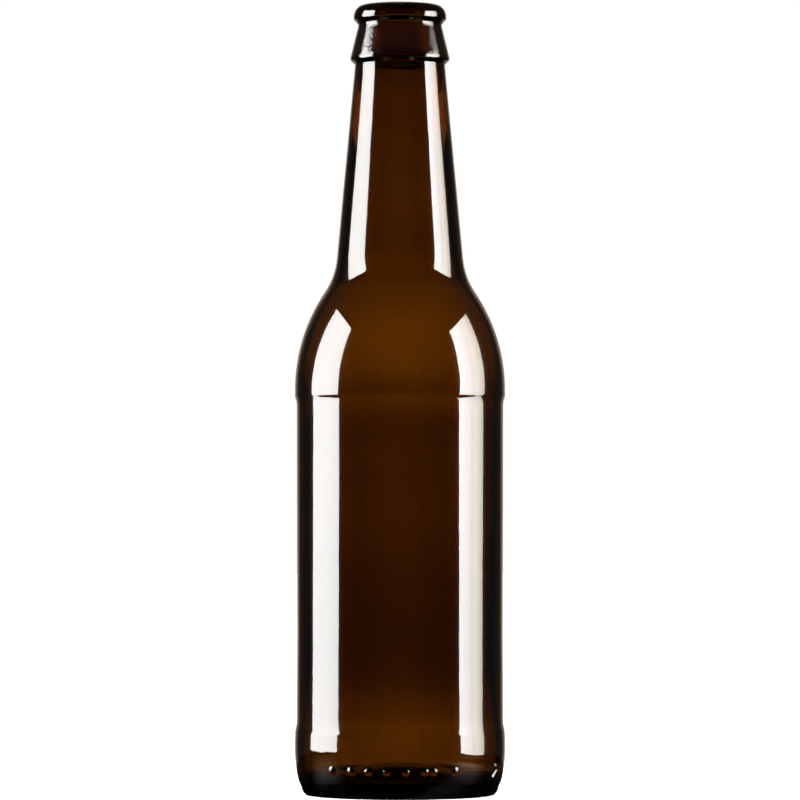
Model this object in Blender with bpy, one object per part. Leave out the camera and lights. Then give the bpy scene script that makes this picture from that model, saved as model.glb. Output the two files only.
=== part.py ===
"""An empty long-neck beer bottle of amber glass, with an open crown finish.

The bottle stands on Z = 0 with its axis on Z, and -Y is its front. It is one
blown piece of glass: a turned wall round an open cavity, with small marks
raised on its heel. Lengths are in metres; MM turns a size in millimetres.
"""

import math

import bmesh
import bpy
from mathutils import Matrix, Vector

MM = 0.001
SEGMENTS = 72

# Crown finish: the mouth, the locking ring that a cap grips, and the collar
HEIGHT = 229.0 * MM
BORE_RADIUS = 8.3 * MM
LIP_CREST_RADIUS = 10.9 * MM
LIP_ROUND_DEPTH = 2.4 * MM
RING_RADIUS = 13.4 * MM
RING_Z = 225.6 * MM
RING_EDGE_ROUND = 0.8 * MM
RING_LAND = 0.3 * MM
GROOVE_RADIUS = 12.05 * MM
GROOVE_Z = 223.2 * MM
COLLAR_RADIUS = 14.35 * MM
COLLAR_Z = 213.6 * MM
COLLAR_ROUND = 1.2 * MM

# Neck and shoulder
NECK_TOP_RADIUS = 13.0 * MM
NECK_TOP_Z = 211.4 * MM
NECK_TAPER = 0.0935
NECK_BLEND_RADIUS = 21.0 * MM
SHOULDER_RADIUS = 50.5 * MM
SHOULDER_Z = 117.3 * MM

# Body: two full bands with a shallow label panel between them
BODY_RADIUS = 30.42 * MM
PANEL_TOP_RADIUS = 29.89 * MM
PANEL_LOW_RADIUS = 29.73 * MM
UPPER_STEP_TOP_Z = 116.4 * MM
UPPER_STEP_LOW_Z = 112.4 * MM
LOWER_STEP_TOP_Z = 23.5 * MM
LOWER_STEP_LOW_Z = 16.0 * MM

# Heel and foot
HEEL_Z = 13.2 * MM
HEEL_RADIUS = 38.0 * MM
PARTING_Z = 3.9 * MM
PARTING_STEP = 0.2 * MM
FOOT_TAPER = 0.43
FOOT_ROUND = 1.2 * MM
BEARING_OUTER_RADIUS = 26.75 * MM
BEARING_INNER_RADIUS = 24.6 * MM
PUSH_UP = 3.6 * MM

# Cavity: thickness of the glass at heights up the wall
FLOOR_CENTRE_Z = 8.6 * MM
FLOOR_EDGE_Z = 6.2 * MM
FLOOR_CORNER = 5.0 * MM
WALL_FOOT_Z = FLOOR_EDGE_Z + FLOOR_CORNER
WALL = (
    (WALL_FOOT_Z, 2.30 * MM),
    (20.0 * MM, 2.35 * MM),
    (31.0 * MM, 2.95 * MM),
    (43.0 * MM, 3.30 * MM),
    (66.0 * MM, 3.00 * MM),
    (107.0 * MM, 2.75 * MM),
    (118.0 * MM, 2.35 * MM),
    (128.0 * MM, 2.15 * MM),
    (137.0 * MM, 2.35 * MM),
    (144.0 * MM, 2.65 * MM),
    (152.0 * MM, 2.70 * MM),
    (180.0 * MM, 2.70 * MM),
    (204.0 * MM, 2.90 * MM),
)
BORE_FOOT_Z = 212.0 * MM

# Marks raised on the heel: a row of round dots, and one slanting bar with a dot
DOT_Z = 8.0 * MM
DOT_RADIUS = 1.1 * MM
DOT_RISE = 0.5 * MM
DOT_SINK = 0.1 * MM
DOT_AZIMUTHS = (-40.2, -27.7, -17.5, -7.2, 3.1, 13.5, 18.5, 31.6)
BAR_AZIMUTH = 65.0
BAR_Z = 6.7 * MM
BAR_LENGTH = 3.8 * MM
BAR_WIDTH = 0.9 * MM
BAR_RISE = 0.4 * MM
BAR_SLANT = 50.0
BAR_DOT_Z = 9.0 * MM
BAR_DOT_RADIUS = 0.7 * MM

# Fine slanting ridges round the foot
RIDGES = SEGMENTS
RIDGE_Z = 1.62 * MM
RIDGE_LENGTH = 1.7 * MM
RIDGE_WIDTH = 0.5 * MM
RIDGE_RISE = 0.16 * MM
RIDGE_SLANT = 38.0

GLASS_COLOUR = (0.055, 0.012, 0.0006, 1.0)
GLASS_IOR = 1.52
SHARP_ANGLE = math.radians(40.0)


def arc(centre, radii, start, end, steps):
    """Points on an ellipse round centre; 0 degrees points away from the axis, 90 up."""
    angles = [math.radians(start + (end - start) * i / steps) for i in range(steps + 1)]
    return [
        (centre[0] + radii[0] * math.cos(angle), centre[1] + radii[1] * math.sin(angle))
        for angle in angles
    ]


def ease(first, last, steps):
    """An S-shaped run between two points that is upright at both ends."""
    points = []
    for i in range(steps + 1):
        share = i / steps
        blend = 0.5 - 0.5 * math.cos(math.pi * share)
        points.append(
            (
                first[0] + (last[0] - first[0]) * blend,
                first[1] + (last[1] - first[1]) * share,
            )
        )
    return points


def neck_radius(z):
    """Outer radius of the straight, tapered neck."""
    return NECK_TOP_RADIUS + NECK_TAPER * (NECK_TOP_Z - z)


def flare():
    """The hollow curve under the neck and the round shoulder, which touch each other."""
    shoulder = Vector((BODY_RADIUS - SHOULDER_RADIUS, SHOULDER_Z))
    slope = math.atan(NECK_TAPER)
    reach = SHOULDER_RADIUS + NECK_BLEND_RADIUS
    # The blend's centre lies NECK_BLEND_RADIUS outside the neck's line and reach from the shoulder's.
    out = Vector((math.cos(slope), math.sin(slope)))
    on_line = Vector((neck_radius(SHOULDER_Z), SHOULDER_Z)) + out * NECK_BLEND_RADIUS
    along = Vector((-math.sin(slope), math.cos(slope)))
    gap = on_line - shoulder
    half = gap.dot(along)
    run = -half + math.sqrt(half * half - gap.dot(gap) + reach * reach)
    blend = on_line + along * run
    touch = math.degrees(math.atan2(blend.y - shoulder.y, blend.x - shoulder.x))
    radii = (NECK_BLEND_RADIUS, NECK_BLEND_RADIUS)
    hollow = arc(blend, radii, 180.0 + math.degrees(slope), 180.0 + touch, 3)
    round_part = arc(shoulder, (SHOULDER_RADIUS, SHOULDER_RADIUS), touch, 0.0, 6)
    return hollow + round_part[1:]


def finish():
    """From the lip's crest down over the locking ring and the collar."""
    lip = arc(
        (LIP_CREST_RADIUS, RING_Z),
        (RING_RADIUS - LIP_CREST_RADIUS, HEIGHT - RING_Z),
        90.0,
        0.0,
        5,
    )
    under_ring = arc(
        (RING_RADIUS - RING_EDGE_ROUND, RING_Z - RING_LAND),
        (RING_EDGE_ROUND, RING_EDGE_ROUND),
        -15.0,
        -70.0,
        1,
    )
    groove = arc(
        (GROOVE_RADIUS + RING_EDGE_ROUND, GROOVE_Z),
        (RING_EDGE_ROUND, RING_EDGE_ROUND),
        135.0,
        190.0,
        1,
    )
    collar = arc(
        (COLLAR_RADIUS - COLLAR_ROUND, COLLAR_Z),
        (COLLAR_ROUND, COLLAR_ROUND),
        15.0,
        -75.0,
        3,
    )
    return lip + under_ring + groove + collar + [(NECK_TOP_RADIUS, NECK_TOP_Z)]


def heel():
    """From the lower band round the heel and over the foot to the bearing ring."""
    centre_radius = BODY_RADIUS - HEEL_RADIUS
    turn = math.degrees(math.asin((HEEL_Z - PARTING_Z) / HEEL_RADIUS))
    curve = arc((centre_radius, HEEL_Z), (HEEL_RADIUS, HEEL_RADIUS), 0.0, -turn, 3)
    foot_angle = math.degrees(math.atan(FOOT_TAPER))
    edge = arc(
        (BEARING_OUTER_RADIUS, FOOT_ROUND),
        (FOOT_ROUND, FOOT_ROUND),
        -foot_angle,
        -90.0,
        2,
    )
    foot_top_z = PARTING_Z - PARTING_STEP
    foot_top = (edge[0][0] + FOOT_TAPER * (foot_top_z - edge[0][1]), foot_top_z)
    return curve + [foot_top] + edge


def outside():
    """The whole outer outline, from the lip's crest to the middle of the push-up."""
    push_up = arc((0.0, 0.0), (BEARING_INNER_RADIUS, PUSH_UP), 0.0, 90.0, 4)
    return (
        finish()
        + flare()[:-1]
        + ease((BODY_RADIUS, UPPER_STEP_TOP_Z), (PANEL_TOP_RADIUS, UPPER_STEP_LOW_Z), 3)
        + ease((PANEL_LOW_RADIUS, LOWER_STEP_TOP_Z), (BODY_RADIUS, LOWER_STEP_LOW_Z), 3)
        + heel()
        + push_up
    )


def radius_at(outline, z):
    """Radius of the outline's main wall at a height, between its points."""
    for (upper_r, upper_z), (lower_r, lower_z) in zip(outline, outline[1:]):
        if lower_z <= z <= upper_z and upper_z > lower_z:
            return lower_r + (upper_r - lower_r) * (z - lower_z) / (upper_z - lower_z)
    raise ValueError(f"no wall at {z}")


def cavity(outline):
    """The inner outline, from the middle of the floor up to the bore and the lip."""
    wall = [(radius_at(outline, z) - thickness, z) for z, thickness in WALL]
    corner_radius = wall[0][0] - FLOOR_CORNER
    floor = [
        (corner_radius * share, FLOOR_CENTRE_Z + (FLOOR_EDGE_Z - FLOOR_CENTRE_Z) * blend)
        for share, blend in ((0.0, 0.0), (0.35, 0.27), (0.7, 0.79))
    ]
    corner = arc(
        (corner_radius, WALL_FOOT_Z),
        (FLOOR_CORNER, FLOOR_CORNER),
        -90.0,
        0.0,
        3,
    )
    lip = arc(
        (LIP_CREST_RADIUS, HEIGHT - LIP_ROUND_DEPTH),
        (LIP_CREST_RADIUS - BORE_RADIUS, LIP_ROUND_DEPTH),
        180.0,
        90.0,
        3,
    )
    return floor + corner + wall[1:] + [(BORE_RADIUS, BORE_FOOT_Z)] + lip


def glass():
    """Amber bottle glass, smooth and clear."""
    material = bpy.data.materials.new("amber_glass")
    material.use_nodes = True
    shader = material.node_tree.nodes["Principled BSDF"]
    shader.inputs["Base Color"].default_value = GLASS_COLOUR
    shader.inputs["Metallic"].default_value = 0.0
    shader.inputs["Roughness"].default_value = 0.04
    shader.inputs["IOR"].default_value = GLASS_IOR
    shader.inputs["Transmission Weight"].default_value = 1.0
    material.diffuse_color = GLASS_COLOUR
    return material


def turned(name, outline):
    """A body turned round Z from an outline that runs down its outer side."""
    mesh = bpy.data.meshes.new(name)
    vertices = [(radius, 0.0, z) for radius, z in outline]
    edges = [(i, i + 1) for i in range(len(outline) - 1)]
    mesh.from_pydata(vertices, edges, [])
    body = bpy.data.objects.new(name, mesh)
    bpy.context.scene.collection.objects.link(body)
    screw = body.modifiers.new("Turn", "SCREW")
    screw.axis = "Z"
    screw.steps = SEGMENTS
    screw.render_steps = SEGMENTS
    screw.use_merge_vertices = True
    screw.merge_threshold = 0.00001
    return body


def on_wall(outline, azimuth, z):
    """A matrix at a point of the outer wall: X runs round the bottle, Y up the wall and Z out."""
    step = 0.4 * MM
    lean = (radius_at(outline, z + step) - radius_at(outline, z - step)) / (2.0 * step)
    angle = math.radians(azimuth)
    away = Vector((math.sin(angle), -math.cos(angle), 0.0))
    around = Vector((math.cos(angle), math.sin(angle), 0.0))
    up = (Vector((0.0, 0.0, 1.0)) + away * lean).normalized()
    out = around.cross(up)
    # The turned wall is flat between its corners, so a mark's foot is set on that flat.
    corner = math.radians(360.0 / SEGMENTS)
    off = (angle + corner / 2.0) % corner - corner / 2.0
    flat = math.cos(corner / 2.0) / math.cos(corner / 2.0 - abs(off))
    place = away * radius_at(outline, z) * flat + Vector((0.0, 0.0, z))
    matrix = Matrix((around, up, out)).transposed().to_4x4()
    matrix.translation = place
    return matrix


def dot(name, matrix, radius, rise):
    """A low round button, its middle just under the face of the wall."""
    mesh = bpy.data.meshes.new(name)
    form = bmesh.new()
    bmesh.ops.create_uvsphere(form, u_segments=10, v_segments=6, radius=radius)
    squash = Matrix.Diagonal((1.0, 1.0, (rise + DOT_SINK) / radius, 1.0))
    sink = Matrix.Translation((0.0, 0.0, -DOT_SINK))
    bmesh.ops.transform(form, matrix=matrix @ sink @ squash, verts=form.verts)
    form.to_mesh(mesh)
    form.free()
    return bpy.data.objects.new(name, mesh)


def ridge(name, matrix, length, width, rise, slant):
    """A straight ridge with a sharp back, leaning by slant degrees from the vertical."""
    mesh = bpy.data.meshes.new(name)
    form = bmesh.new()
    bmesh.ops.create_cube(form, size=1.0)
    top = [vertex for vertex in form.verts if vertex.co.z > 0.0]
    bmesh.ops.scale(form, vec=(0.3, 0.85, 1.0), verts=top)
    shape = Matrix.Rotation(math.radians(slant), 4, "Z") @ Matrix.Diagonal(
        (width, length, 2.0 * rise, 1.0)
    )
    bmesh.ops.transform(form, matrix=matrix @ shape, verts=form.verts)
    form.to_mesh(mesh)
    form.free()
    return bpy.data.objects.new(name, mesh)


def marks(outline):
    """Every mark raised on the heel and the foot, as bodies to fuse to the wall."""
    found = [
        dot(f"dot_{i}", on_wall(outline, azimuth, DOT_Z), DOT_RADIUS, DOT_RISE)
        for i, azimuth in enumerate(DOT_AZIMUTHS)
    ]
    place = on_wall(outline, BAR_AZIMUTH, BAR_DOT_Z)
    found.append(dot("bar_dot", place, BAR_DOT_RADIUS, BAR_RISE))
    place = on_wall(outline, BAR_AZIMUTH, BAR_Z)
    found.append(ridge("bar", place, BAR_LENGTH, BAR_WIDTH, BAR_RISE, -BAR_SLANT))
    for i in range(RIDGES):
        place = on_wall(outline, 360.0 * (i + 0.5) / RIDGES, RIDGE_Z)
        size = (RIDGE_LENGTH, RIDGE_WIDTH, RIDGE_RISE, RIDGE_SLANT)
        found.append(ridge(f"ridge_{i}", place, *size))
    return found


def fuse(body, pieces):
    """Joins the pieces to the body by one union and removes them."""
    group = bpy.data.collections.new("marks")
    bpy.context.scene.collection.children.link(group)
    for piece in pieces:
        group.objects.link(piece)
    union = body.modifiers.new("Marks", "BOOLEAN")
    union.operation = "UNION"
    union.operand_type = "COLLECTION"
    union.collection = group
    union.solver = "EXACT"
    bpy.context.view_layer.objects.active = body
    for modifier in list(body.modifiers):
        bpy.ops.object.modifier_apply(modifier=modifier.name)
    for piece in pieces:
        bpy.data.objects.remove(piece)
    bpy.data.collections.remove(group)


def main():
    for old in list(bpy.data.objects):
        bpy.data.objects.remove(old)
    outer = outside()
    bottle = turned("bottle", cavity(outer) + outer[1:])
    fuse(bottle, marks(outer))
    bottle.data.materials.clear()
    bottle.data.materials.append(glass())
    bottle.data.shade_smooth()
    bottle.data.set_sharp_from_angle(angle=SHARP_ANGLE)


main()
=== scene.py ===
# %% [markdown]
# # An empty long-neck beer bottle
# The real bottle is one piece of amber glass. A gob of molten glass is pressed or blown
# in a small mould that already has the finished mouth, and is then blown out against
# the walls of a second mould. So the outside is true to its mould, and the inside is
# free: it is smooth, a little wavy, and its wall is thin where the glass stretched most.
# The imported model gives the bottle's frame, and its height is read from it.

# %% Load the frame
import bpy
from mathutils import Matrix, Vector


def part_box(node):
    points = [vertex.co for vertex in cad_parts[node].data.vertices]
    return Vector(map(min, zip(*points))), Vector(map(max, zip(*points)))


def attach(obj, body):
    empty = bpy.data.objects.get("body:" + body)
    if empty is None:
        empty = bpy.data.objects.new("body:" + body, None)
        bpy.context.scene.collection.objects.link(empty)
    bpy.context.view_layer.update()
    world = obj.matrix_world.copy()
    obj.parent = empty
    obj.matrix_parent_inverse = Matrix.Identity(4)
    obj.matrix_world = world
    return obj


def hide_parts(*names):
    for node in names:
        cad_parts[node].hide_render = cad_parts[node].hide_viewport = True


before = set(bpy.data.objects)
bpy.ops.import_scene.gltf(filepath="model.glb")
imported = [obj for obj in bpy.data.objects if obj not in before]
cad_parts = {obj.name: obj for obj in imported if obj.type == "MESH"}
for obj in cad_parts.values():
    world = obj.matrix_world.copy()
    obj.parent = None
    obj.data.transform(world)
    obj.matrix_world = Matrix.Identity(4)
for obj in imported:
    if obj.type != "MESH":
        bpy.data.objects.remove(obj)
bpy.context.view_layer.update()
cad_low, cad_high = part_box("bottle")
HEIGHT = cad_high[2] - cad_low[2]
print("frame loaded, the bottle stands", round(HEIGHT * 1000.0, 1), "mm tall")

# %% Modules and units
import math

import bmesh
import bpy
import numpy as np
from mathutils import Vector, noise

MM = 0.001
print("lengths are in metres, and MM turns a size in millimetres")

# %% [markdown]
# ## The outline
# A bottle is a body of revolution, so its shape is one outline turned round an axis. It
# could be drawn by hand as a curve, but a mould maker draws it with a few radii that
# touch each other, and the same is done here: each function returns the points of one
# stretch, and the outline is their sum. A point is (radius, height).

# %% Curves that an outline is made of
SAME_PLACE = 0.01 * MM


def arc(centre, radii, start, end, steps):
    """Points on an ellipse round centre; 0 degrees points away from the axis, 90 up."""
    angles = np.radians(np.linspace(start, end, steps + 1))
    points = np.stack((np.cos(angles) * radii[0], np.sin(angles) * radii[1]), axis=1)
    return points + np.array(centre)


def line(first, last, steps):
    """Evenly spaced points on a straight run."""
    return np.linspace(first, last, steps + 1)


def chain(*stretches):
    """Joins stretches end to end and drops a point that repeats the one before it."""
    points = np.concatenate(stretches)
    gap = np.linalg.norm(np.diff(points, axis=0), axis=1)
    return points[np.concatenate(([True], gap > SAME_PLACE))]


print("an arc of a quarter circle:", np.round(arc((0, 0), (1, 1), 0, 90, 2), 2).tolist())

# %% [markdown]
# ## The crown finish
# Glass makers call the mouth the finish. A crown cap is crimped under the locking ring,
# so the ring's top is a smooth, strong round and its underside tucks in sharply. The
# collar below it is what the moulding machine held the bottle by. All of these are
# turned, with small radii, because hot glass never leaves a sharp edge.

# %% Outline of the finish
BORE_RADIUS = 8.3 * MM
BORE_FOOT_Z = 221.5 * MM
LIP_CREST_RADIUS = 10.9 * MM
LIP_ROUND_DEPTH = 2.4 * MM
RING_RADIUS = 13.4 * MM
RING_Z = 225.6 * MM
RING_LAND = 0.3 * MM
RING_EDGE_ROUND = 0.8 * MM
GROOVE_RADIUS = 12.05 * MM
GROOVE_Z = 223.2 * MM
COLLAR_RADIUS = 14.35 * MM
COLLAR_Z = 213.6 * MM
COLLAR_ROUND = 1.2 * MM
NECK_TOP_RADIUS = 12.977 * MM
NECK_TOP_Z = 211.65 * MM
NECK_TUCK = 0.35 * MM


def finish():
    """From the lip's crest down over the locking ring and the collar to the neck."""
    crest = (LIP_CREST_RADIUS, RING_Z)
    lip = arc(crest, (RING_RADIUS - LIP_CREST_RADIUS, HEIGHT - RING_Z), 90, 0, 12)
    edge = (RING_EDGE_ROUND, RING_EDGE_ROUND)
    under = arc((RING_RADIUS - RING_EDGE_ROUND, RING_Z - RING_LAND), edge, 0, -65, 4)
    groove = arc((GROOVE_RADIUS + RING_EDGE_ROUND, GROOVE_Z), edge, 130, 190, 4)
    crown = (COLLAR_ROUND, COLLAR_ROUND)
    collar = arc((COLLAR_RADIUS - COLLAR_ROUND, COLLAR_Z), crown, 15, -62, 8)
    tuck = (NECK_TUCK, NECK_TUCK)
    corner = arc((NECK_TOP_RADIUS + NECK_TUCK, NECK_TOP_Z), tuck, 125, 180, 3)
    taper = line(groove[-1], collar[0], 8)
    return chain(lip, under, groove, taper, collar, corner)


finish_outline = finish()
print("the finish has", len(finish_outline), "points down its outer side")

# %% [markdown]
# ## Neck, shoulder and body
# The neck is a slow cone. It runs into the shoulder through a hollow arc, and the
# shoulder is one large arc that ends upright at the body's full width. The two arcs
# touch, so the slope never jumps, which is what keeps the highlights unbroken. Between
# two full bands, the label panel is half a millimetre lower, so that a label is not
# rubbed when bottles knock together. The steps into it are a hollow and a tight round,
# as a mould's cutter leaves them.

# %% Sizes of neck, shoulder and label panel
NECK_TAPER = 0.0935
NECK_BLEND_RADIUS = 21.0 * MM
SHOULDER_RADIUS = 50.5 * MM
SHOULDER_Z = 117.3 * MM
BODY_RADIUS = 30.42 * MM
UPPER_STEP_Z = 115.7 * MM
UPPER_STEP_ROUNDS = (2.1 * MM, 6.9 * MM)
PANEL_TOP_RADIUS = 29.88 * MM
PANEL_WAIST = (29.73 * MM, 46.0 * MM)
PANEL_LOW_RADIUS = 29.82 * MM
LOWER_STEP_Z = 22.6 * MM
LOWER_STEP_ROUNDS = (18.0 * MM, 1.5 * MM)
LOWER_STEP_RADIUS = 30.33 * MM
LOWER_BAND_Z = 15.2 * MM
print("the label panel lies", round((BODY_RADIUS - PANEL_TOP_RADIUS) / MM, 2), "mm low")

# %% From the neck's cone into the shoulder


def neck_radius(z):
    """Outer radius of the neck's cone."""
    return NECK_TOP_RADIUS + NECK_TAPER * (NECK_TOP_Z - z)


def flare():
    """The hollow arc under the neck and the shoulder's arc, which touch each other."""
    shoulder = np.array((BODY_RADIUS - SHOULDER_RADIUS, SHOULDER_Z))
    slope = math.atan(NECK_TAPER)
    reach = SHOULDER_RADIUS + NECK_BLEND_RADIUS
    out = np.array((math.cos(slope), math.sin(slope)))
    along = np.array((-math.sin(slope), math.cos(slope)))
    on_line = np.array((neck_radius(SHOULDER_Z), SHOULDER_Z)) + out * NECK_BLEND_RADIUS
    gap = on_line - shoulder
    half = gap @ along
    blend = on_line + along * (math.sqrt(half * half - gap @ gap + reach * reach) - half)
    touch = math.degrees(math.atan2(blend[1] - shoulder[1], blend[0] - shoulder[0]))
    radii = (NECK_BLEND_RADIUS, NECK_BLEND_RADIUS)
    hollow = arc(blend, radii, 180 + math.degrees(slope), 180 + touch, 10)
    return chain(hollow, arc(shoulder, (SHOULDER_RADIUS, SHOULDER_RADIUS), touch, 0, 20))


flare_outline = flare()
print("the flare starts at", round(flare_outline[0][1] / MM, 1), "mm")

# %% Steps of the label panel


def step(top_radius, low_radius, top_z, rounds):
    """A step down between two upright walls: two arcs that touch halfway."""
    reach = sum(rounds)
    turn = math.degrees(math.acos(1.0 - abs(low_radius - top_radius) / reach))
    low_z = top_z - reach * math.sin(math.radians(turn))
    first = (rounds[0], rounds[0])
    second = (rounds[1], rounds[1])
    if low_radius < top_radius:
        leave = arc((top_radius - rounds[0], top_z), first, 0, -turn, 6)
        meet = arc((low_radius + rounds[1], low_z), second, 180 - turn, 180, 6)
    else:
        leave = arc((top_radius + rounds[0], top_z), first, 180, 180 + turn, 6)
        meet = arc((low_radius - rounds[1], low_z), second, turn, 0, 6)
    return chain(leave, meet)


upper_step = step(BODY_RADIUS, PANEL_TOP_RADIUS, UPPER_STEP_Z, UPPER_STEP_ROUNDS)
lower_step = step(PANEL_LOW_RADIUS, LOWER_STEP_RADIUS, LOWER_STEP_Z, LOWER_STEP_ROUNDS)
print("the upper step is", round((UPPER_STEP_Z - upper_step[-1][1]) / MM, 1), "mm tall")

# %% Outline from the finish down to the lower band
body_outline = chain(
    line(finish_outline[-1], flare_outline[0], 18),
    flare_outline,
    upper_step,
    line(upper_step[-1], PANEL_WAIST, 18),
    line(PANEL_WAIST, lower_step[0], 8),
    lower_step,
    line(lower_step[-1], (BODY_RADIUS, LOWER_BAND_Z), 3),
)
print("neck to lower band:", len(body_outline), "points")

# %% [markdown]
# ## Heel, foot and push-up
# The heel curves in to the line where the bottom plate met the body mould. The plate's
# part is a short cone with a small round, and the bottle stands on a narrow flat ring.
# Inside that ring the bottom is pushed up into a dome, so that it cannot rock.

# %% Sizes of the heel and the push-up
HEEL_Z = 13.2 * MM
HEEL_RADIUS = 38.0 * MM
PARTING_Z = 3.9 * MM
PARTING_STEP = 0.2 * MM
FOOT_TAPER = 0.43
FOOT_ROUND = 1.2 * MM
BEARING_OUTER_RADIUS = 26.75 * MM
BEARING_INNER_RADIUS = 24.6 * MM
PUSH_UP = 3.6 * MM
RELIEF_TOP_Z = 10.8 * MM
print("the bottle stands on a ring", round(2.0 * BEARING_OUTER_RADIUS / MM, 1), "mm wide")

# %% Outline of the heel and the push-up


def foot():
    """The bottom plate's cone and its small round, from top to bottom."""
    lean = math.degrees(math.atan(FOOT_TAPER))
    centre = (BEARING_OUTER_RADIUS, FOOT_ROUND)
    edge = arc(centre, (FOOT_ROUND, FOOT_ROUND), -lean, -90, 8)
    top_z = PARTING_Z - PARTING_STEP
    top = (edge[0][0] + FOOT_TAPER * (top_z - edge[0][1]), top_z)
    return chain(line(top, edge[0], 11), edge)


def heel_arc(top_z, low_z, steps):
    """A stretch of the heel's large arc between two heights."""
    centre = (BODY_RADIUS - HEEL_RADIUS, HEEL_Z)
    ends = [math.degrees(math.asin((z - HEEL_Z) / HEEL_RADIUS)) for z in (top_z, low_z)]
    return arc(centre, (HEEL_RADIUS, HEEL_RADIUS), ends[0], ends[1], steps)


band = chain(body_outline[-1:], heel_arc(HEEL_Z, RELIEF_TOP_Z, 4)[:-1])
relief_outline = chain(heel_arc(RELIEF_TOP_Z, PARTING_Z, 26), foot())
push_up = chain(
    relief_outline[-1:],
    arc((0.0, 0.0), (BEARING_INNER_RADIUS, PUSH_UP), 0, 90, 16),
)
plain_outline = chain(finish_outline, body_outline, band)
outer_outline = chain(plain_outline, relief_outline)
print("heel and foot:", len(relief_outline), "points, drawn finely for their marks")

# %% [markdown]
# ## The inside
# Nothing shapes the inside of a blown bottle but air, so it follows the outside at the
# distance that the glass happened to keep. The wall is thinnest at the shoulder and the
# heel, where it was blown out farthest, and thickest low on the body, where the glass
# is slower to stretch. Amber glass shows this as a change of colour, so the thickness
# matters to the look. A smooth curve is drawn through the thickness at a few heights.
# Where the neck runs up into the finish, the bore narrows and is given as a radius.

# %% Thickness of the glass
FLOOR_CENTRE_Z = 9.0 * MM
FLOOR_EDGE_Z = 4.6 * MM
FLOOR_CORNER = 3.4 * MM
WALL_FOOT_Z = FLOOR_EDGE_Z + FLOOR_CORNER
WALL_THICKNESS = (
    (8.0, 2.30),
    (11.2, 2.25),
    (17.0, 2.17),
    (23.0, 2.34),
    (28.7, 2.62),
    (34.4, 3.00),
    (43.0, 3.18),
    (57.5, 3.06),
    (69.0, 2.90),
    (80.0, 2.74),
    (98.0, 2.74),
    (108.5, 2.68),
    (114.0, 2.30),
    (121.0, 2.15),
    (127.0, 2.00),
    (135.0, 2.00),
    (141.0, 2.20),
    (144.5, 2.45),
    (149.6, 2.62),
    (156.0, 2.45),
    (173.0, 2.48),
    (184.0, 2.59),
    (192.0, 2.66),
    (200.0, 2.70),
    (203.0, 2.70),
)
BORE_RADII = (
    (205.2, 10.76),
    (207.4, 10.46),
    (209.0, 10.23),
    (210.4, 10.14),
    (211.9, 10.12),
    (213.5, 10.04),
    (218.0, 8.95),
)
WALL_RINGS = ((20.0 * MM, 12), (200.0 * MM, 56), (BORE_FOOT_Z, 26))
WALL_Z, WALL = np.array(WALL_THICKNESS).T * MM
print("the wall is", WALL.min() / MM, "to", WALL.max() / MM, "mm thick")

# %% A smooth curve through known points


def radius_at(outline, z):
    """Radius of an outline that runs downwards, at one height or many."""
    return np.interp(z, outline[::-1, 1], outline[::-1, 0])


def smooth_through(x_known, y_known, x):
    """A curve through known points, with the slope at each taken from its neighbours."""
    slope = np.gradient(y_known, x_known)
    i = np.clip(np.searchsorted(x_known, x) - 1, 0, len(x_known) - 2)
    width = x_known[i + 1] - x_known[i]
    t = (x - x_known[i]) / width
    return (
        (2 * t**3 - 3 * t**2 + 1) * y_known[i]
        + (t**3 - 2 * t**2 + t) * width * slope[i]
        + (3 * t**2 - 2 * t**3) * y_known[i + 1]
        + (t**3 - t**2) * width * slope[i + 1]
    )


waist = radius_at(outer_outline, PANEL_WAIST[1])
print("the panel's waist is", round(2.0 * waist / MM, 2), "mm wide")

# %% The inner outline
ML_PER_CUBIC_METRE = 1e6


def inside():
    """From the middle of the floor up the inner wall and the bore to the lip's crest."""
    bore_z, bore_r = np.array(BORE_RADII).T * MM
    known_z = np.concatenate((WALL_Z, bore_z, [BORE_FOOT_Z]))
    wall_r = radius_at(outer_outline, WALL_Z) - WALL
    known_r = np.concatenate((wall_r, bore_r, [BORE_RADIUS]))
    wall_z = np.array([WALL_FOOT_Z])
    for top_z, rings in WALL_RINGS:
        wall_z = np.append(wall_z, np.linspace(wall_z[-1], top_z, rings + 1)[1:])
    wall = np.stack((smooth_through(known_z, known_r, wall_z), wall_z), axis=1)
    corner_centre = (wall[0][0] - FLOOR_CORNER, WALL_FOOT_Z)
    corner = arc(corner_centre, (FLOOR_CORNER, FLOOR_CORNER), -90, 0, 10)
    share = np.linspace(0.0, 1.0, 20)
    dome = FLOOR_CENTRE_Z + (FLOOR_EDGE_Z - FLOOR_CENTRE_Z) * share**2
    floor = np.stack((corner_centre[0] * share, dome), axis=1)
    bore_top = (BORE_RADIUS, HEIGHT - LIP_ROUND_DEPTH)
    bore = line((BORE_RADIUS, BORE_FOOT_Z), bore_top, 4)
    rim_radii = (LIP_CREST_RADIUS - BORE_RADIUS, LIP_ROUND_DEPTH)
    rim = arc((LIP_CREST_RADIUS, HEIGHT - LIP_ROUND_DEPTH), rim_radii, 180, 90, 8)
    return chain(floor, corner, wall, bore, rim)


inner_outline = inside()
volume = np.pi * np.trapz(inner_outline[:, 0] ** 2, inner_outline[:, 1])
print("filled to the brim it holds", round(volume * ML_PER_CUBIC_METRE), "ml")

# %% [markdown]
# ## Marks raised on the heel
# A row of round dots stands on the heel, which a machine reads to tell one mould from
# another, with a slanting bar to one side. Fine slanting ridges round the foot grip the
# conveyor and keep the hot glass off its cold steel. They could be modelled one by one
# and joined by a Boolean, but as they were cut in the mould itself, they are made here
# as a height that is added to the wall, which melts each foot into the glass.

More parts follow.
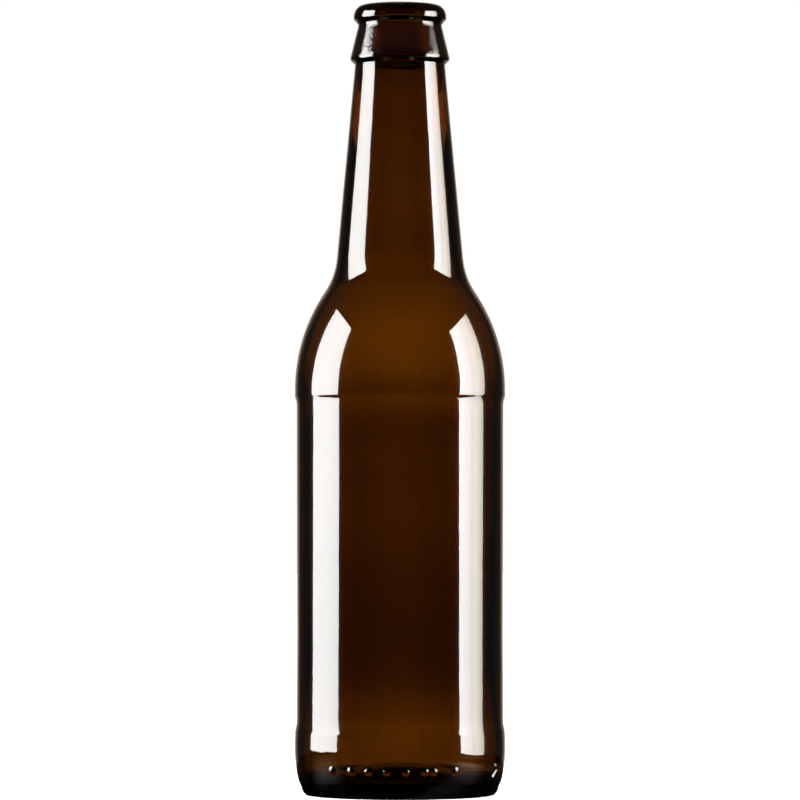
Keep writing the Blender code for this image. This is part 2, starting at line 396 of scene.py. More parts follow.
# %% Sizes of the marks
DOT_AZIMUTHS = (-40.2, -27.7, -17.5, -7.2, 3.1, 13.5, 18.5, 31.6)
DOT_Z = 8.0 * MM
DOT_RADIUS = 1.12 * MM
DOT_RISE = 0.54 * MM
BAR_AZIMUTH = 65.0
BAR_Z = 6.7 * MM
BAR_LENGTH = 3.8 * MM
BAR_WIDTH = 0.9 * MM
BAR_RISE = 0.4 * MM
BAR_SLANT = 50.0
BAR_DOT_Z = 9.0 * MM
BAR_DOT_RADIUS = 0.7 * MM
print(len(DOT_AZIMUTHS), "dots and one bar with a dot over it")

# %% Sizes of the ridges
RIDGES = 72
RIDGE_Z = 1.45 * MM
RIDGE_HEIGHT = 1.7 * MM
RIDGE_WIDTH = 0.55 * MM
RIDGE_RISE = 0.16 * MM
RIDGE_SLANT = 38.0
# A ridge fades out over this share of its half length at each end.
RIDGE_END = 0.4
print("one ridge every", 360.0 / RIDGES, "degrees")

# %% Dots and bar


def button(distance, radius, rise):
    """Height of a button that is part of a ball, at a distance from its middle."""
    ball = (radius**2 + rise**2) / (2.0 * rise)
    near = np.minimum(distance, radius)
    return np.sqrt(ball**2 - near**2) - (ball - rise)


def dots_and_bar(azimuth, z, radius):
    """Height of the dots and the bar over the heel."""
    height = np.zeros_like(azimuth)
    buttons = [(a, DOT_Z, DOT_RADIUS, DOT_RISE) for a in DOT_AZIMUTHS]
    buttons.append((BAR_AZIMUTH, BAR_DOT_Z, BAR_DOT_RADIUS, BAR_RISE))
    for centre, centre_z, size, rise in buttons:
        across = radius * np.radians(azimuth - centre)
        height = np.maximum(height, button(np.hypot(across, z - centre_z), size, rise))
    slant = math.radians(BAR_SLANT)
    across = radius * np.radians(azimuth - BAR_AZIMUTH)
    up = z - BAR_Z
    along = across * math.sin(slant) + up * math.cos(slant)
    aside = across * math.cos(slant) - up * math.sin(slant)
    half = (BAR_LENGTH - BAR_WIDTH) / 2.0
    gap = np.hypot(np.maximum(np.abs(along) - half, 0.0), aside)
    return np.maximum(height, button(gap, BAR_WIDTH / 2.0, BAR_RISE))


halfway = button(DOT_RADIUS / 2.0, DOT_RADIUS, DOT_RISE)
print("halfway out, a dot is", round(halfway / MM, 2), "mm high")

# %% Ridges round the foot


def foot_ridges(azimuth, z, radius):
    """Height of the slanting ridges round the foot."""
    pitch = 360.0 / RIDGES
    lean = np.degrees(math.tan(math.radians(RIDGE_SLANT)) * (z - RIDGE_Z) / radius)
    aside = np.abs((azimuth + lean + pitch / 2.0) % pitch - pitch / 2.0)
    across = np.clip(radius * np.radians(aside) / (RIDGE_WIDTH / 2.0), 0.0, 1.0)
    inwards = 1.0 - 2.0 * np.abs(z - RIDGE_Z) / RIDGE_HEIGHT
    ends = np.clip(inwards, 0.0, RIDGE_END) / RIDGE_END
    return RIDGE_RISE * (0.5 + 0.5 * np.cos(np.pi * across)) * ends


def mark_height(azimuth, z, radius):
    """Height of every mark at a place, in metres above the turned wall."""
    return dots_and_bar(azimuth, z, radius) + foot_ridges(azimuth, z, radius)


print(RIDGES, "ridges round the foot")

# %% [markdown]
# ## Waves in the wall
# Light shows what a ruler does not: cooling glass shrinks unevenly, so the outside
# has faint waves a centimetre or two long, and the free inside has deeper ones. A true
# turned surface would give ruler-straight highlights, which is how one spots computer
# glass. Smooth noise, read round the real bottle, gives both faces their waves. Where
# the two halves of the mould met, a seam no higher than a hair runs down each side.

# %% Sizes of waves and seams
OUTER_WAVE = 0.020 * MM
INNER_WAVE = 0.10 * MM
WAVE_LENGTH = 14.0 * MM
SMALL_WAVE_SHARE = 0.35
SMALL_WAVE_FINER = 2.7
STILL_FOOT_Z = 9.0 * MM
MOVING_FOOT_Z = 22.0 * MM
MOVING_LIP_Z = 219.0 * MM
STILL_LIP_Z = 226.0 * MM
SEAM_AZIMUTHS = (-90.0, 90.0)
SEAM_WIDTH = 0.30 * MM
SEAM_RISE = 0.06 * MM
print("waves are", WAVE_LENGTH / MM, "mm long, and", INNER_WAVE / MM, "mm high inside")

# %% Height of waves and seams


def wave_height(points, depth, seed):
    """Smooth noise at each point, depth high, with two sizes of wave, still at both ends."""
    heights = np.empty(len(points))
    for i, point in enumerate(points / WAVE_LENGTH):
        place = Vector(point) + Vector((seed, 0.0, 0.0))
        small = noise.noise(place * SMALL_WAVE_FINER)
        heights[i] = noise.noise(place) + SMALL_WAVE_SHARE * small
    still_z = (STILL_FOOT_Z, MOVING_FOOT_Z, MOVING_LIP_Z, STILL_LIP_Z)
    return heights * depth * np.interp(points[:, 2], still_z, (0.0, 1.0, 1.0, 0.0))


def seam_height(azimuth, z, radius):
    """Height of the two mould seams, from the finish to the bottom plate."""
    height = np.zeros_like(azimuth)
    for seam in SEAM_AZIMUTHS:
        across = radius * np.radians(azimuth - seam)
        height = height + SEAM_RISE * np.exp(-((across / (SEAM_WIDTH / 2.0)) ** 2))
    return height * (z > PARTING_Z)


seam_middle = seam_height(np.array([SEAM_AZIMUTHS[0]]), HEEL_Z, BODY_RADIUS)[0]
print("a seam stands", round(seam_middle / MM, 3), "mm high")

# %% [markdown]
# ## Turning the outline into glass
# Blender's Screw modifier turns an outline, but it gives every ring the same number of
# corners, and the marks need four times as many as the rest. So the rings are laid down
# in code: plain rings have one corner at each of a list of azimuths, fine rings divide
# each step by four, and where the two meet, a face has one long edge and four short
# ones. The mesh is one closed skin, outside and inside, as a thick wall has to be for
# light to bend right.

# %% Azimuths of the corners
COLUMNS = 192
FIRST_COLUMN = 0.9
FINE = 4
BESIDE_SEAM = (-0.6, -0.3, 0.0, 0.3, 0.6)
seam_columns = [seam + turn for seam in SEAM_AZIMUTHS for turn in BESIDE_SEAM]
even_columns = np.linspace(-180.0, 180.0, COLUMNS, endpoint=False) + FIRST_COLUMN
plain_azimuths = np.sort(np.concatenate((even_columns, seam_columns)))
next_azimuths = np.append(plain_azimuths[1:], plain_azimuths[0] + 360.0)
steps = np.arange(FINE) / FINE
fine_azimuths = plain_azimuths[:, None] + (next_azimuths - plain_azimuths)[:, None] * steps
fine_azimuths = (fine_azimuths.ravel() + 180.0) % 360.0 - 180.0
print(len(plain_azimuths), "columns, and", len(fine_azimuths), "round the heel")

# %% Rings turned round the axis


def turned(azimuth, radius, z):
    """Places in space at azimuths from the front, distances from the axis and heights."""
    angle = np.radians(azimuth)
    return np.stack((radius * np.sin(angle), -radius * np.cos(angle), z), axis=1)


def outline_normals(outline):
    """Unit normals of an outline, to the left of its way along."""
    way = np.gradient(outline, axis=0)
    way /= np.linalg.norm(way, axis=1)[:, None]
    return np.stack((-way[:, 1], way[:, 0]), axis=1)


def turned_rings(outline, azimuths, rise_at):
    """Vertices of a turned stretch, ring after ring, each raised along its normal."""
    count = len(azimuths)
    azimuth = np.tile(azimuths, len(outline))
    radius, z = np.repeat(outline, count, axis=0).T
    normal_r, normal_z = np.repeat(outline_normals(outline), count, axis=0).T
    rise = rise_at(azimuth, z, radius)
    return turned(azimuth, radius + rise * normal_r, z + rise * normal_z)


print("a quarter turn from the front is", turned([90.0], 1.0, [0.0])[0].round(2).tolist())

# %% How far each face of the skin is raised
INNER_SEED = 7


def inner_rise(azimuth, z, radius):
    """The free inside has only its waves."""
    return wave_height(turned(azimuth, radius, z), INNER_WAVE, INNER_SEED)


def outer_rise(azimuth, z, radius):
    """The outside has fainter waves and the seams of the mould."""
    waves = wave_height(turned(azimuth, radius, z), OUTER_WAVE, 0)
    return waves + seam_height(azimuth, z, radius)


def marked_rise(azimuth, z, radius):
    """The heel and foot have the marks as well."""
    return outer_rise(azimuth, z, radius) + mark_height(azimuth, z, radius)


def no_rise(azimuth, z, radius):
    """The push-up is plain."""
    return np.zeros_like(azimuth)


heel_marks = marked_rise(np.array([DOT_AZIMUTHS[0]]), np.array([DOT_Z]), BODY_RADIUS)
print("the first dot's crown stands", round(heel_marks[0] / MM, 2), "mm high")

# %% Points of the skin
upper = chain(inner_outline[1:], plain_outline)
lower = push_up[1:-1]


def skin_stretches():
    """Points from the first ring of the floor to the last one of the push-up."""
    inner_rings = len(inner_outline) - 1
    return [
        turned_rings(upper[:inner_rings], plain_azimuths, inner_rise),
        turned_rings(upper[inner_rings:], plain_azimuths, outer_rise),
        turned_rings(relief_outline, fine_azimuths, marked_rise),
        turned_rings(lower, plain_azimuths, no_rise),
    ]


print("rings:", len(upper), "plain,", len(relief_outline), "fine and", len(lower), "below")

# %% Faces between rings


def band_faces(start, count, rings):
    """Quads between rings of equal count, the first of which starts at index start."""
    column = np.arange(count)
    beside = (column + 1) % count
    faces = []
    for ring in range(rings - 1):
        low = start + ring * count
        high = low + count
        quads = np.stack((low + column, low + beside, high + beside, high + column), axis=1)
        faces.extend(quads.tolist())
    return faces


def change_faces(coarse, fine, count):
    """Faces between a ring of count corners and one of count x FINE, by start index."""
    faces = []
    for column in range(count):
        beside = (column + 1) % count
        short = [fine + (column * FINE + i) % (count * FINE) for i in range(FINE, -1, -1)]
        faces.append([coarse + column, coarse + beside, *short])
    return faces


def end_faces(floor_middle, last_ring, count):
    """Triangles round the floor's middle and the dome's, which is the next point."""
    faces = []
    for column in range(count):
        beside = (column + 1) % count
        faces.append([floor_middle, beside, column])
        faces.append([last_ring + column, last_ring + beside, floor_middle + 1])
    return faces


print("a change of ring over one column:", change_faces(0, 3, 3)[0])

# %% The whole skin


def skin_faces(first_fine, first_below, floor_middle):
    """Faces of the skin, in the order in which its rings are laid down."""
    plain = len(plain_azimuths)
    last_fine = first_below - plain * FINE
    under = change_faces(first_below, last_fine, plain)
    return [
        *band_faces(0, plain, len(upper)),
        *change_faces(first_fine - plain, first_fine, plain),
        *band_faces(first_fine, plain * FINE, len(relief_outline)),
        *[face[::-1] for face in under],
        *band_faces(first_below, plain, len(lower)),
        *end_faces(floor_middle, floor_middle - plain, plain),
    ]


def put(name, points, faces):
    """A mesh object of these points and faces, placed in the scene."""
    mesh = bpy.data.meshes.new(name)
    mesh.from_pydata(points, [], faces)
    piece = bpy.data.objects.new(name, mesh)
    bpy.context.scene.collection.objects.link(piece)
    return piece


def blown_skin(name):
    """The closed skin of the bottle: the inside, the outside, the heel and the push-up."""
    stretches = skin_stretches()
    first_fine = len(stretches[0]) + len(stretches[1])
    first_below = first_fine + len(stretches[2])
    middles = [(0.0, 0.0, inner_outline[0][1]), (0.0, 0.0, push_up[-1][1])]
    points = np.concatenate((*stretches, middles))
    faces = skin_faces(first_fine, first_below, len(points) - 2)
    piece = put(name, points.tolist(), faces)
    skin = bmesh.new()
    skin.from_mesh(piece.data)
    bmesh.ops.recalc_face_normals(skin, faces=skin.faces)
    skin.to_mesh(piece.data)
    skin.free()
    piece.data.shade_smooth()
    return piece


bottle_glass = blown_skin("bottle_glass")
triangles = sum(len(face.vertices) - 2 for face in bottle_glass.data.polygons)
print("the skin has", triangles, "triangles")

# %% [markdown]
# ## Colours and nodes
# Colours are written as the hex values that a paint or web page would use. Shaders work
# in linear light, so one function turns them. Materials are built of nodes, and one
# small function adds any node with its settings and links. Many looks change softly
# from one place to another, so a span lists the inputs of one such change, and several
# changes can be multiplied, as a place is in a patch when it is inside all its edges.

# %% Hex to linear


def linear(hex_colour):
    """Linear RGBA of an sRGB hex value such as 'ff8000'."""
    parts = [int(hex_colour[i : i + 2], 16) / 255.0 for i in (0, 2, 4)]
    curved = [
        part / 12.92 if part <= 0.04045 else ((part + 0.055) / 1.055) ** 2.4 for part in parts
    ]
    return (*curved, 1.0)


print("mid grey 808080 is", round(linear("808080")[0], 3), "in linear light")

# %% One function for every node


def add(tree, kind, inputs=None, **settings):
    """Adds a node. An input gets a value, a socket, or the first output of a node."""
    node = tree.nodes.new(kind)
    for name, value in settings.items():
        setattr(node, name, value)
    for name, source in (inputs or {}).items():
        if isinstance(source, bpy.types.Node):
            source = source.outputs[0]
        if isinstance(source, bpy.types.NodeSocket):
            tree.links.new(source, node.inputs[name])
        else:
            node.inputs[name].default_value = source
    return node


print("one function adds nodes of every kind")

# %% Soft changes


def span(value, ends, first, last):
    """Map Range inputs that go from first to last while value goes between two ends."""
    start, end = ends
    return {"Value": value, "From Min": start, "From Max": end, "To Min": first, "To Max": last}


def where_all(tree, *changes):
    """The product of soft changes, each given by its span."""
    product = 1.0
    for change in changes:
        share = add(tree, "ShaderNodeMapRange", change, interpolation_type="SMOOTHSTEP")
        product = add(tree, "ShaderNodeMath", {0: product, 1: share}, operation="MULTIPLY")
    return product


print("a span holds", list(span(0.0, (0.0, 1.0), 0.0, 1.0)))

# %% [markdown]
# ## Amber container glass, blown
# Soda-lime glass bends light with an index of 1.52. Iron, sulphur and carbon in the melt
# colour it amber: it swallows blue within a millimetre or two, green more slowly and red
# slowest of all, so thin walls are orange-brown and thick glass is black. A single base
# colour can't do that, so most of the colour is an absorption inside the glass. A part
# of it is on the surface, which renders with less noise.

# %% Colour of the glass
GLASS_IOR = 1.52
TINT = linear("ffcf30")
ABSORB_PER_MM = (0.592, 0.69, 2.2)


def glass_depth(tree):
    """The absorption inside the glass, one rate for each colour of light."""
    strongest = max(ABSORB_PER_MM) / MM
    colour = [1.0 - rate / MM / strongest for rate in ABSORB_PER_MM]
    depth = {"Color": (*colour, 1.0), "Density": strongest}
    return add(tree, "ShaderNodeVolumeAbsorption", depth)


passed = [round(math.exp(-rate), 2) for rate in ABSORB_PER_MM]
print("one millimetre of glass lets through", passed, "of red, green and blue")

# %% [markdown]
# ## A fire-smooth skin and a sandy cone
# The body's skin set against the mould while it was hot, so it is smooth, with a faint
# orange-peel grain that ripples the edge of a highlight. The cone between ring and
# collar is another matter: the finish is formed first, in a cold iron mould, and chills
# to a skin like fine sand. It makes the highlights there grey, with specks at their
# edges. Both are bumps, as they are far too low for a mesh, and the sand is rough too.

# %% Grain and sand
# A rise is in millimetres, since the bump that it goes into is one millimetre deep.
GRAIN = 1.3 * MM
GRAIN_RISE = 0.005
GRAIN_DETAIL = 1.0
# Real grains are 0.1 to 0.2 mm, and are drawn coarser, since they wouldn't show.
SAND = 0.5 * MM
SAND_RISE = 0.03
SAND_DETAIL = 2.0
SAND_ROUGHNESS = 0.09
SAND_FOOT_Z = (213.6 * MM, 214.1 * MM)
SAND_TOP_Z = (222.6 * MM, 223.0 * MM)
SAND_RADII = (11.2 * MM, 11.4 * MM)


def lump_height(tree, place, size, rise, detail):
    """Height in millimetres of lumps of one size, half of them below zero."""
    pattern = {"Vector": place, "Scale": 1.0 / size, "Detail": detail}
    lumps = add(tree, "ShaderNodeTexNoise", pattern)
    centred = {0: lumps, 1: rise, 2: -rise / 2.0}
    return add(tree, "ShaderNodeMath", centred, operation="MULTIPLY_ADD")


def sandy_cone(tree, place):
    """1 on the outside of the cone between ring and collar, 0 elsewhere."""
    height = add(tree, "ShaderNodeSeparateXYZ", {"Vector": place}).outputs["Z"]
    level = {0: place, 1: (1.0, 1.0, 0.0)}
    flat = add(tree, "ShaderNodeVectorMath", level, operation="MULTIPLY")
    reach = add(tree, "ShaderNodeVectorMath", {0: flat}, operation="LENGTH").outputs["Value"]
    above = span(height, SAND_FOOT_Z, 0.0, 1.0)
    below = span(height, SAND_TOP_Z, 1.0, 0.0)
    return where_all(tree, above, below, span(reach, SAND_RADII, 0.0, 1.0))


print("grains of", SAND / MM, "mm, under a ripple of", GRAIN / MM, "mm")

# %% The glass


def amber_container_glass():
    """Blown amber glass: clear, coloured through its depth, with a fire-smooth skin."""
    material = bpy.data.materials.new("amber_container_glass_blown")
    material.use_nodes = True
    tree = material.node_tree
    shader = tree.nodes["Principled BSDF"]
    shader.inputs["Base Color"].default_value = TINT
    shader.inputs["Metallic"].default_value = 0.0
    shader.inputs["Roughness"].default_value = 0.0
    shader.inputs["IOR"].default_value = GLASS_IOR
    shader.inputs["Transmission Weight"].default_value = 1.0
    place = add(tree, "ShaderNodeTexCoord").outputs["Object"]
    sandy = sandy_cone(tree, place)
    lumps = lump_height(tree, place, SAND, SAND_RISE, SAND_DETAIL)
    sand = add(tree, "ShaderNodeMath", {0: lumps, 1: sandy}, operation="MULTIPLY")
    grain = lump_height(tree, place, GRAIN, GRAIN_RISE, GRAIN_DETAIL)
    height = add(tree, "ShaderNodeMath", {0: grain, 1: sand}, operation="ADD")
    bump = add(tree, "ShaderNodeBump", {"Height": height, "Distance": MM})
    roughness = where_all(tree, span(sandy, (0.0, 1.0), 0.0, SAND_ROUGHNESS))
    tree.links.new(roughness.outputs[0], shader.inputs["Roughness"])
    tree.links.new(bump.outputs["Normal"], shader.inputs["Normal"])
    depth = glass_depth(tree)
    tree.links.new(depth.outputs["Volume"], tree.nodes["Material Output"].inputs["Volume"])
    return material


bottle_glass.data.materials.append(amber_container_glass())
print("glass made, index", GLASS_IOR)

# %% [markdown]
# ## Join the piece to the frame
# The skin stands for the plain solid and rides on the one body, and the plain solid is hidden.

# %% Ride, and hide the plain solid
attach(bottle_glass, "root")
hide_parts("bottle")

# %% [markdown]
# ## Studio
# Clear glass is lit by what stands round it. Two tall soft boxes stand at the sides and
# draw the two white strips, a white backdrop fills the glass from behind, and
# everything else is dark, which draws the black edges. The floor is plain and pale.
# Each helper is seen only by some kinds of light ray: what a face mirrors, what is seen
# through the glass and what lights the floor can then be set one by one, as flags and
# cards do it in a real studio.

# %% Helpers that only some rays see
RAY_KINDS = ("camera", "diffuse", "glossy", "transmission", "shadow")


def seen_by(piece, *kinds):
    """Lets only these kinds of ray see a helper."""
    for kind in RAY_KINDS:
        setattr(piece, "visible_" + kind, kind in kinds)


def glow_at_corners(piece, material_name, colours):
    """Makes a helper glow in the colours of its corners; returns the emission node."""
    marks = piece.data.color_attributes.new("cloth", "FLOAT_COLOR", "POINT")
    for mark, colour in zip(marks.data, colours):
        mark.color = colour
    material = bpy.data.materials.new(material_name)
    material.use_nodes = True
    tree = material.node_tree
    tree.nodes.clear()
    colour = add(tree, "ShaderNodeVertexColor", layer_name="cloth")
    glow = add(tree, "ShaderNodeEmission", {"Color": colour})
    add(tree, "ShaderNodeOutputMaterial", {"Surface": glow})
    piece.data.materials.append(material)
    return glow


print("helpers are seen or not by", RAY_KINDS)

# %% [markdown]
# ## Soft boxes
# A soft box is a lamp behind cloth. It is never even: brightest near its lamp, it falls
# off to its edges. Each box is drawn twice, once for mirror reflections and once,
# dimmer, for light that comes out of the glass, so that the strips can be bright and
# the glass calm. A frame lists a box's four corners as (depth, height) in metres, and
# its cloth the colours across it, from its front edge at 0 to its back edge at 1, with
# a faint spill beyond both.

# %% Frames and cloths
BOX_DISTANCE = 0.34
BOX_LIGHT = 21.0
BOX_LIGHT_THROUGH = 5.0
BOX_EVEN_Z = (-0.02, 0.15)
BOX_EVEN = (0.95, 1.07)
LEFT_FRAME = ((-0.121, -0.0035), (0.134, -0.0035), (0.095, 0.378), (-0.150, 0.378))
RIGHT_FRAME = ((-0.142, -0.0045), (0.068, -0.0190), (0.090, 0.358), (-0.151, 0.358))
LEFT_CLOTH = (
    (-0.22, "000000"),
    (-0.004, "181818"),
    (0.0, "e3e2e1"),
    (0.12, "e9e9e8"),
    (0.40, "e8e7e6"),
    (0.60, "dddcda"),
    (0.80, "d0cecc"),
    (1.0, "c2bfbb"),
    (1.004, "1c1b1b"),
    (1.27, "000000"),
)
RIGHT_CLOTH = (
    (-0.24, "000000"),
    (-0.004, "181818"),
    (0.0, "fefcfb"),
    (0.17, "f6f3f1"),
    (0.40, "e7e3e1"),
    (0.50, "d9d3cd"),
    (0.64, "d6d1cb"),
    (0.76, "c9c2bb"),
    (0.92, "b1a89d"),
    (1.0, "a49a8c"),
    (1.004, "1c1b1b"),
    (1.27, "000000"),
)
print("the left box is", round(LEFT_FRAME[2][1] - LEFT_FRAME[1][1], 2), "m tall")

# %% Build the soft boxes


def between(first, last, share):
    """The place at a share of the way from first to last; the share may lie outside."""
    return [a + (b - a) * share for a, b in zip(first, last)]


def soft_box(name, side, corners, cloth, light):
    """An upright glowing panel to one side, which no camera sees."""
    low_front, low_back, top_back, top_front = corners
    points = []
    colours = []
    for share, colour in cloth:
        points.append((side * BOX_DISTANCE, *between(low_front, low_back, share)))
        points.append((side * BOX_DISTANCE, *between(top_front, top_back, share)))
        colours += [linear(colour)] * 2
    faces = [(i, i + 2, i + 3, i + 1) for i in range(0, len(points) - 2, 2)]
    panel = put(name, points, faces)
    glow = glow_at_corners(panel, name + "_cloth", colours)
    tree = glow.id_data
    place = add(tree, "ShaderNodeTexCoord").outputs["Object"]
    height = add(tree, "ShaderNodeSeparateXYZ", {"Vector": place}).outputs["Z"]
    even = span(height, BOX_EVEN_Z, *[light * share for share in BOX_EVEN])
    strength = where_all(tree, even)
    tree.links.new(strength.outputs[0], glow.inputs["Strength"])
    return panel


for side, name, corners, cloth in (
    (-1.0, "soft_box_left", LEFT_FRAME, LEFT_CLOTH),
    (1.0, "soft_box_right", RIGHT_FRAME, RIGHT_CLOTH),
):
    mirrored = soft_box(name, side, corners, cloth, BOX_LIGHT)
    seen_by(mirrored, "diffuse", "glossy")
    seen_through = soft_box(name + "_through", side, corners, cloth, BOX_LIGHT_THROUGH)
    seen_by(seen_through, "transmission")
print("two soft boxes, each drawn twice")

# %% [markdown]
# ## Floor
# Pale matt paper, far wider than the view. Mirror reflections miss it and meet the two
# tables instead.

# %% Pale paper
FLOOR_HALF = 6.0
PAPER = linear("f4f3f1")


def sheet(name, sides, half_y, z):
    """A level sheet and its material's nodes."""
    left, right = sides
    corners = [(left, -half_y, z), (right, -half_y, z), (right, half_y, z), (left, half_y, z)]
    piece = put(name, corners, [(0, 1, 2, 3)])
    material = bpy.data.materials.new(name + "_paper")
    material.use_nodes = True
    piece.data.materials.append(material)
    return piece, material.node_tree


floor, floor_nodes = sheet("floor", (-FLOOR_HALF, FLOOR_HALF), FLOOR_HALF, 0.0)
paper = floor_nodes.nodes["Principled BSDF"]
paper.inputs["Base Color"].default_value = PAPER
paper.inputs["Roughness"].default_value = 1.0
paper.inputs["Specular IOR Level"].default_value = 0.0
seen_by(floor, "camera", "diffuse")
print("paper laid,", 2 * FLOOR_HALF, "m wide")

# %% [markdown]
# ## Tables that the heel mirrors
# The heel and foot curve under, so they mirror what lies before the bottle: a dark
# table on each side, with the light that a soft box spills on it painted on as a glow.
# Seen from the bottle, the painted spill is a fan that starts at one place on the middle
# line. Its colour changes with the distance to the side, and its strength with the angle
# round the fan.

# %% Light painted on the tables
TABLE_HALF_Y = 0.10
TABLE_REACH = 0.19
TABLE_Z = -0.5 * MM
TABLE_LIGHT = 2.4
TABLE_DIM = 0.18
TABLE_BACK = 0.03
LEFT_FAN = (-18.0, -3.0, 5.0, 25.0)
LEFT_FAN_Y = -23.6 * MM
LEFT_GLOW = (
    (0.025, "171717"),
    (0.028, "363636"),
    (0.032, "4b4b4b"),
    (0.037, "606060"),
    (0.042, "746f6b"),
    (0.051, "8e7e74"),
    (0.061, "957f71"),
    (0.076, "9b7559"),
    (0.100, "8b6853"),
    (0.139, "6b523f"),
    (TABLE_REACH, "5b473a"),
)
RIGHT_FAN = (-25.0, -8.0, -2.0, 22.0)
RIGHT_FAN_Y = -27.0 * MM
RIGHT_GLOW = (
    (0.025, "333333"),
    (0.032, "4f4f4f"),
    (0.036, "65605d"),
    (0.045, "7e756c"),
    (0.058, "a99586"),
    (0.068, "f0bfa3"),
    (0.074, "f5c2a5"),
    (0.082, "bc8e78"),
    (0.092, "523a30"),
    (0.110, "4d362c"),
    (0.138, "98755b"),
    (TABLE_REACH, "93715b"),
)
print("the fans open", LEFT_FAN[3] - LEFT_FAN[0], "and", RIGHT_FAN[3] - RIGHT_FAN[0], "degrees")

# %% Colour and strength of the painted spill of light


def glow_colour(tree, aside, glow):
    """The fan's colour by distance to the side, from a list of (distance, colour)."""
    first, last = glow[0][0], glow[-1][0]
    share = add(tree, "ShaderNodeMapRange", span(aside, (first, last), 0.0, 1.0))
    ramp = add(tree, "ShaderNodeValToRGB", {"Fac": share})
    stops = ramp.color_ramp.elements
    stops.remove(stops[1])
    stops[0].color = linear(glow[0][1])
    for distance, colour in glow[1:]:
        stops.new((distance - first) / (last - first)).color = linear(colour)
    return ramp


def fan_strength(tree, aside, along, start_y, fan):
    """The fan's strength by the angle round its start; fan holds four angles."""
    front, lit, still_lit, back = np.radians(fan)
    ahead = add(tree, "ShaderNodeMath", {0: along, 1: start_y}, operation="SUBTRACT")
    turn = add(tree, "ShaderNodeMath", {0: ahead, 1: aside}, operation="ARCTAN2")
    rise = span(turn, (front, lit), TABLE_DIM, TABLE_LIGHT)
    fall = span(turn, (still_lit, back), 1.0, TABLE_BACK)
    return where_all(tree, rise, fall)


print("light falls off behind to", TABLE_BACK, "of its strength")

# %% Lay the tables


def dim_table(name, sides, glow, start_y, fan):
    """A dark table with a fan of spilt light painted on it as a glow, clear to light that comes
    out of the glass.
    """
    piece, tree = sheet(name, sides, TABLE_HALF_Y, TABLE_Z)
    tree.nodes.clear()
    place = add(tree, "ShaderNodeTexCoord").outputs["Object"]
    parts = add(tree, "ShaderNodeSeparateXYZ", {"Vector": place})
    aside = add(tree, "ShaderNodeMath", {0: parts.outputs["X"]}, operation="ABSOLUTE")
    colour = glow_colour(tree, aside, glow)
    strength = fan_strength(tree, aside, parts.outputs["Y"], start_y, fan)
    # The spilt light is painted on the table as a glow.
    light = add(tree, "ShaderNodeEmission", {"Color": colour, "Strength": strength})
    clear = add(tree, "ShaderNodeBsdfTransparent")
    from_glass = add(tree, "ShaderNodeLightPath").outputs["Is Transmission Ray"]
    cloth = add(tree, "ShaderNodeMixShader", {0: from_glass, 1: light, 2: clear})
    add(tree, "ShaderNodeOutputMaterial", {"Surface": cloth})
    seen_by(piece, "glossy")
    return piece


dim_table("table_left", (-TABLE_REACH, 0.0), LEFT_GLOW, LEFT_FAN_Y, LEFT_FAN)
dim_table("table_right", (0.0, TABLE_REACH), RIGHT_GLOW, RIGHT_FAN_Y, RIGHT_FAN)
print("tables laid")

# %% [markdown]
# ## Reflector card, its light painted as a glow
# Behind the neck, where the camera can't see it, stands a small card with a slot for the
# neck. The light that a shiny reflector card would throw is painted on it as a glow,
# and it throws this through the thick glass of the finish, which would be black
# otherwise. It is a grid of faces, and each corner's painted light is read from how
# bright the card is at that height, in the middle and at the sides. Places across and
# up it are in millimetres.

# %% How bright the card is
CARD_Y = 30.0 * MM
CARD_X = (0.0, 10.0, 14.0, 24.0, 60.0)
CARD_Z = (195.5, 198.0, 213.0, 214.2, 216.0, 218.2, 219.3, 220.2, 222.5, 225.3, 226.8)
CARD_SLOT = 14.0
CARD_FOOT_Z = 214.2
CARD_MIDDLE_LIGHT = (
    (216.0, 218.2, 219.3, 220.2, 222.5, 225.3, 226.8),
    (0.20, 0.20, 0.35, 1.2, 2.6, 4.0, 0.0),
)
CARD_SIDE_LIGHT = (
    (195.5, 198.0, 213.0, 216.0, 219.3, 220.2, 225.3, 226.8),
    (0.0, 6.0, 7.0, 0.1, 0.1, 8.0, 18.0, 0.0),
)
CARD_SIDE = (10.0, 24.0)
CARD_COLOUR = linear("ffd2ac")


def card_colour(x, z):
    """The card's light at a place on it."""
    middle = np.interp(z, *CARD_MIDDLE_LIGHT)
    side = np.interp(z, *CARD_SIDE_LIGHT)
    light = np.interp(abs(x), CARD_SIDE, (middle, side))
    return [light * part for part in CARD_COLOUR]


print("brightest at its sides:", round(card_colour(24.0, 225.3)[0], 1))

# %% Card behind the neck


def neck_card():
    """A card with light painted on it as a glow, which only rays that leave the glass can meet.
    """
    across = [-x for x in CARD_X[:0:-1]] + list(CARD_X)
    corners = [(x, z) for z in CARD_Z for x in across]
    width = len(across)
    faces = []
    for row, z in enumerate(CARD_Z[:-1]):
        for column in range(width - 1):
            middle = abs(across[column] + across[column + 1]) / 2.0
            if z >= CARD_FOOT_Z or middle > CARD_SLOT:
                low = row * width + column
                faces.append((low, low + 1, low + width + 1, low + width))
    card = put("neck_card", [(x * MM, CARD_Y, z * MM) for x, z in corners], faces)
    # The card's light is painted on it as a glow at its corners.
    glow_at_corners(card, "neck_card_painted_glow", [card_colour(x, z) for x, z in corners])
    seen_by(card, "transmission")
    return card


neck_card()
print("card stands", CARD_Y / MM, "mm behind the axis")

# %% [markdown]
# ## World
# A ray that hits nothing meets the world, and its direction tells what it would have
# met in a real studio. Its turn is its angle from straight back, its climb its angle
# from the level. The camera sees white. A ray that comes out of the glass sees a white
# backdrop through a window as wide as the backdrop, behind and before, or the pale
# floor when it goes down. A mirror reflection sees a warm rim of the backdrop, and dark
# walls. All other rays see an even flood of light, which lights the paper. Each edge is
# a soft change between two angles.

